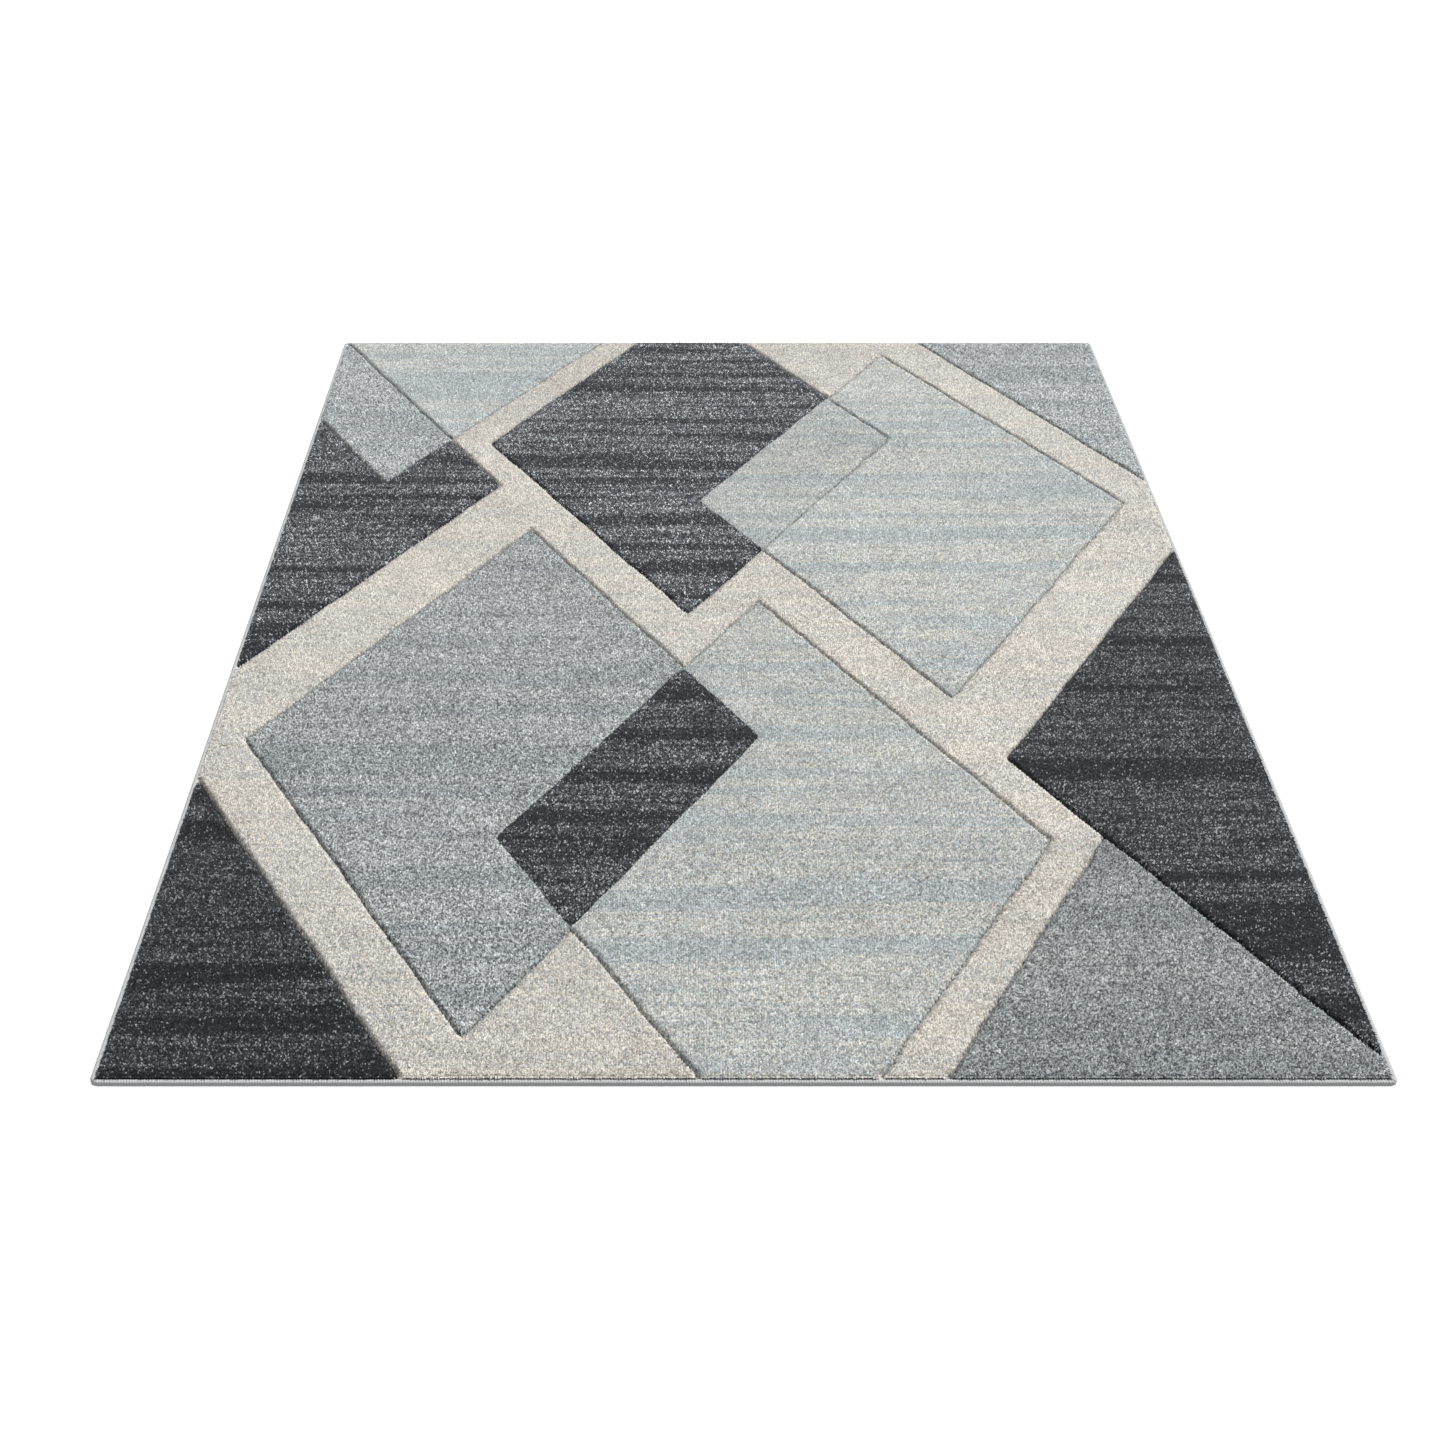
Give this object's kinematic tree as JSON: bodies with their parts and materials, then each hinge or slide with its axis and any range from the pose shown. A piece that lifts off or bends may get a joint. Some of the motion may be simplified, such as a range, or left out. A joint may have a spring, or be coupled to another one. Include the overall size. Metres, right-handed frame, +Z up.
{
  "type": "area rug",
  "caption": "Rectangular carved cut-pile area rug with a geometric diamond and band pattern in charcoal, greys and cream, and a serged edge.",
  "frame": {"origin": "middle of the underside, on the floor", "axes": "+X to the right along the front edge, +Y along the length to the back edge, +Z up out of the pile"},
  "size_m": [1.6, 2.3, 0.0125],
  "materials": {
    "charcoal_yarn": "heathered charcoal cut pile with lighter weft-wise streaks",
    "mid_grey_yarn": "heathered mid-grey cut pile",
    "light_grey_yarn": "light blue-grey cut pile with beige weft-wise streaks",
    "cream_yarn": "cream cut pile with faint grey streaks",
    "serging_yarn": "grey yarn wrapped side by side, matt",
    "edge_cord": "undyed twisted cord, hidden in the serging",
    "ground_cloth": "plain-woven jute and cotton",
    "latex_coat": "matt latex, brushed into the weave"
  },
  "bodies": {
    "root": {"back_coat": "latex_coat", "edge_cord_back": "edge_cord", "edge_cord_front": "edge_cord", "edge_cord_left": "edge_cord", "edge_cord_right": "edge_cord", "ground_weave": "ground_cloth", "pile_charcoal_back": "charcoal_yarn", "pile_charcoal_front_left": "charcoal_yarn", "pile_charcoal_left": "charcoal_yarn", "pile_charcoal_overlap": "charcoal_yarn", "pile_charcoal_right": "charcoal_yarn", "pile_cream_back_left_band": "cream_yarn", "pile_cream_back_right_band": "cream_yarn", "pile_cream_back_triangle": "cream_yarn", "pile_cream_centre_band": "cream_yarn", "pile_cream_centre_link": "cream_yarn", "pile_cream_front_left_band": "cream_yarn", "pile_cream_front_right_band": "cream_yarn", "pile_cream_front_triangle": "cream_yarn", "pile_cream_left_band": "cream_yarn", "pile_cream_middle_band": "cream_yarn", "pile_cream_right_band": "cream_yarn", "pile_grey_back_right": "mid_grey_yarn", "pile_grey_front_right": "mid_grey_yarn", "pile_grey_left": "mid_grey_yarn", "pile_grey_left_diamond": "mid_grey_yarn", "pile_light_back_left": "light_grey_yarn", "pile_light_front_diamond": "light_grey_yarn", "pile_light_overlap": "light_grey_yarn", "pile_light_right_diamond": "light_grey_yarn", "serged_edge_back": "serging_yarn", "serged_edge_front": "serging_yarn", "serged_edge_left": "serging_yarn", "serged_edge_right": "serging_yarn"}
  },
  "joints": []
}
